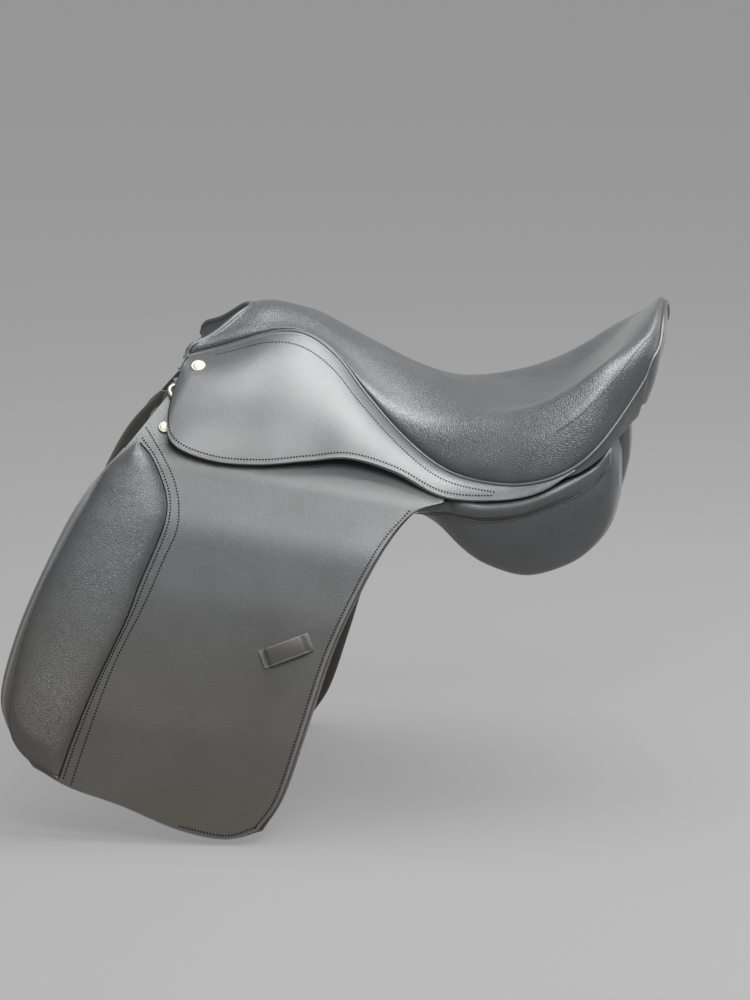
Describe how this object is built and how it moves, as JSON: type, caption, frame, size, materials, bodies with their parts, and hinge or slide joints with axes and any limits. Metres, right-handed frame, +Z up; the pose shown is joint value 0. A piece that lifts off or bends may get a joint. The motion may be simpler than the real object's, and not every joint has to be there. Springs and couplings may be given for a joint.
{
  "type": "english riding saddle",
  "caption": "English riding saddle with a padded seat, flaps that lift, knee rolls, stuffed panels, stirrup bars, girth straps and dee rings.",
  "frame": {"origin": "on the centre line, under the deepest part of the seat, at the height of the panels' lowest bearing line", "axes": "+X from the pommel to the cantle, +Y to the right (off) side, +Z up"},
  "size_m": [0.606, 0.4686, 0.4764],
  "materials": {
    "leather_grain": "satin black leather with a printed grain",
    "leather_smooth": "smooth black leather with a soft sheen",
    "foam_grey": "matt foam",
    "web_linen": "matt linen web",
    "laminated_wood": "matt birch ply",
    "steel": "satin steel",
    "white_metal": "polished white metal"
  },
  "bodies": {
    "saddle": {"bar_rivet_front_left": "steel", "bar_rivet_front_right": "steel", "bar_rivet_rear_left": "steel", "bar_rivet_rear_right": "steel", "cantle_facing": "leather_smooth", "cantle_plate": "steel", "catch_pin_left": "steel", "catch_pin_right": "steel", "dee_chape_left": "leather_smooth", "dee_chape_right": "leather_smooth", "flap_head_left": "leather_smooth", "flap_head_right": "leather_smooth", "flap_stud_left": "white_metal", "flap_stud_right": "white_metal", "girth_strap_front_left": "leather_smooth", "girth_strap_front_right": "leather_smooth", "girth_strap_middle_left": "leather_smooth", "girth_strap_middle_right": "leather_smooth", "girth_strap_rear_left": "leather_smooth", "girth_strap_rear_right": "leather_smooth", "girth_web_left": "web_linen", "girth_web_right": "web_linen", "gullet_plate": "steel", "panel_left": "leather_grain", "panel_right": "leather_grain", "pommel_facing": "leather_smooth", "seat_cover": "leather_grain", "seat_foam": "foam_grey", "seat_piping": "leather_smooth", "seat_web_front": "web_linen", "seat_web_long": "web_linen", "seat_web_rear": "web_linen", "skirt_nail_left": "white_metal", "skirt_nail_right": "white_metal", "skirt_top_left": "leather_smooth", "skirt_top_right": "leather_smooth", "stirrup_bar_left": "steel", "stirrup_bar_right": "steel", "sweat_flap_left": "leather_smooth", "sweat_flap_right": "leather_smooth", "tree_frame": "laminated_wood", "tree_spring_left": "steel", "tree_spring_right": "steel"},
    "flap_left": {"flap_left": "leather_smooth", "knee_roll_left": "leather_grain", "keeper_left": "leather_smooth"},
    "skirt_left": {"skirt_left": "leather_smooth"},
    "catch_left": {"bar_catch_left": "steel"},
    "dee_left": {"dee_ring_left": "white_metal"},
    "guard_left": {"buckle_guard_left": "leather_smooth"},
    "flap_right": {"flap_right": "leather_smooth", "knee_roll_right": "leather_grain", "keeper_right": "leather_smooth"},
    "skirt_right": {"skirt_right": "leather_smooth"},
    "catch_right": {"bar_catch_right": "steel"},
    "dee_right": {"dee_ring_right": "white_metal"},
    "guard_right": {"buckle_guard_right": "leather_smooth"}
  },
  "joints": [
    {"name": "flap_lift_left", "type": "hinge", "parent": "saddle", "child": "flap_left", "pos_m": [-0.306, -0.15, 0.126], "axis": [-0.9875, 0, 0.1576], "range_deg": [0, 75]},
    {"name": "skirt_lift_left", "type": "hinge", "parent": "saddle", "child": "skirt_left", "pos_m": [-0.26231, -0.1145, 0.18474], "axis": [-0.9287, 0.2083, 0.3067], "range_deg": [0, 90]},
    {"name": "catch_turn_left", "type": "hinge", "parent": "saddle", "child": "catch_left", "pos_m": [-0.12758, -0.11268, 0.16702], "axis": [0.106, -0.7011, 0.7052], "range_deg": [0, 90]},
    {"name": "dee_swing_left", "type": "hinge", "parent": "saddle", "child": "dee_left", "pos_m": [-0.259, -0.09733, 0.1777], "axis": [-0.9063, -0.3009, -0.2968], "range_deg": [0, 12]},
    {"name": "guard_slide_left", "type": "slide", "parent": "saddle", "child": "guard_left", "axis": [0, -0.2768, -0.9609], "range_m": [0, 0.03]},
    {"name": "flap_lift_right", "type": "hinge", "parent": "saddle", "child": "flap_right", "pos_m": [-0.306, 0.15, 0.126], "axis": [0.9875, 0, -0.1576], "range_deg": [0, 75]},
    {"name": "skirt_lift_right", "type": "hinge", "parent": "saddle", "child": "skirt_right", "pos_m": [-0.26231, 0.1145, 0.18474], "axis": [0.9287, 0.2083, -0.3067], "range_deg": [0, 90]},
    {"name": "catch_turn_right", "type": "hinge", "parent": "saddle", "child": "catch_right", "pos_m": [-0.12758, 0.11268, 0.16702], "axis": [-0.106, -0.7011, -0.7052], "range_deg": [0, 90]},
    {"name": "dee_swing_right", "type": "hinge", "parent": "saddle", "child": "dee_right", "pos_m": [-0.259, 0.09733, 0.1777], "axis": [0.9063, -0.3009, 0.2968], "range_deg": [0, 12]},
    {"name": "guard_slide_right", "type": "slide", "parent": "saddle", "child": "guard_right", "axis": [0, 0.2768, -0.9609], "range_m": [0, 0.03]}
  ]
}
